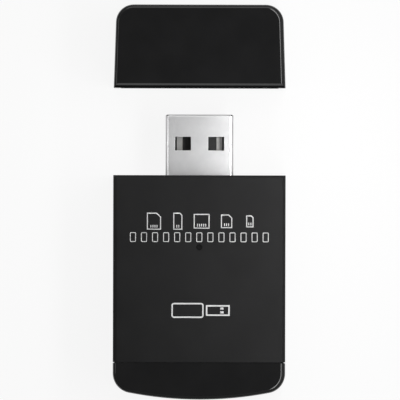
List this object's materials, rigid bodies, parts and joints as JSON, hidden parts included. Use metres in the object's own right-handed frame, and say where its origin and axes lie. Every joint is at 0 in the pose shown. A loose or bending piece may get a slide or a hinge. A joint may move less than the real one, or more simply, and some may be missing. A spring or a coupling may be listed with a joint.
{
  "type": "usb memory card reader",
  "caption": "Flat black pocket memory card reader with a USB plug at one end, card slots in the bowed tail and sides, and a pull-off cap lying in front of the plug.",
  "frame": {"origin": "on the table, under the middle of the box around the reader and its cap", "axes": "+X across the reader, +Y towards the plug and the cap, +Z out of the front face"},
  "size_m": [0.0304, 0.0696, 0.012],
  "materials": {
    "satin_black": "fine spark-eroded satin black",
    "gloss_black": "polished black",
    "plated_steel": "nickel-plated folded sheet",
    "insulator": "moulded black insulator",
    "nickel_plate": "nickel-plated contact strip",
    "gold_plate": "gold-plated contact strip",
    "board_green": "green solder mask",
    "chip_resin": "moulded chip resin",
    "tinned_metal": "tinned metal",
    "lamp_resin": "clear lamp resin",
    "smoked_clear": "smoked clear plastic",
    "tan_ceramic": "tan ceramic",
    "resistor_black": "black glazed ceramic",
    "socket_sheet": "rolled stainless sheet"
  },
  "bodies": {
    "reader": {"front_cover": "satin_black", "back_cover": "satin_black", "tail_bezel": "gloss_black", "plug_shell": "plated_steel", "plug_tongue": "insulator", "plug_contact_1": "nickel_plate", "plug_contact_2": "nickel_plate", "plug_contact_3": "nickel_plate", "plug_contact_4": "nickel_plate", "circuit_board": "board_green", "controller_chip": "chip_resin", "chip_leads": "tinned_metal", "crystal": "tinned_metal", "status_led": "lamp_resin", "light_pipe": "smoked_clear", "capacitors": "tan_ceramic", "resistors": "resistor_black", "large_card_socket_base": "insulator", "large_card_socket_cover": "socket_sheet", "large_card_socket_contacts": "gold_plate", "stick_card_socket_base": "insulator", "stick_card_socket_cover": "socket_sheet", "stick_card_socket_contacts": "gold_plate", "micro_card_socket_base": "insulator", "micro_card_socket_cover": "socket_sheet", "micro_card_socket_contacts": "gold_plate", "slim_stick_socket_base": "insulator", "slim_stick_socket_cover": "socket_sheet", "slim_stick_socket_contacts": "gold_plate"},
    "cap": {"cap": "gloss_black"}
  },
  "joints": [
    {"name": "cap_slide", "type": "slide", "parent": "reader", "child": "cap", "axis": [0, 1, 0], "range_m": [-0.01535, 0]}
  ]
}
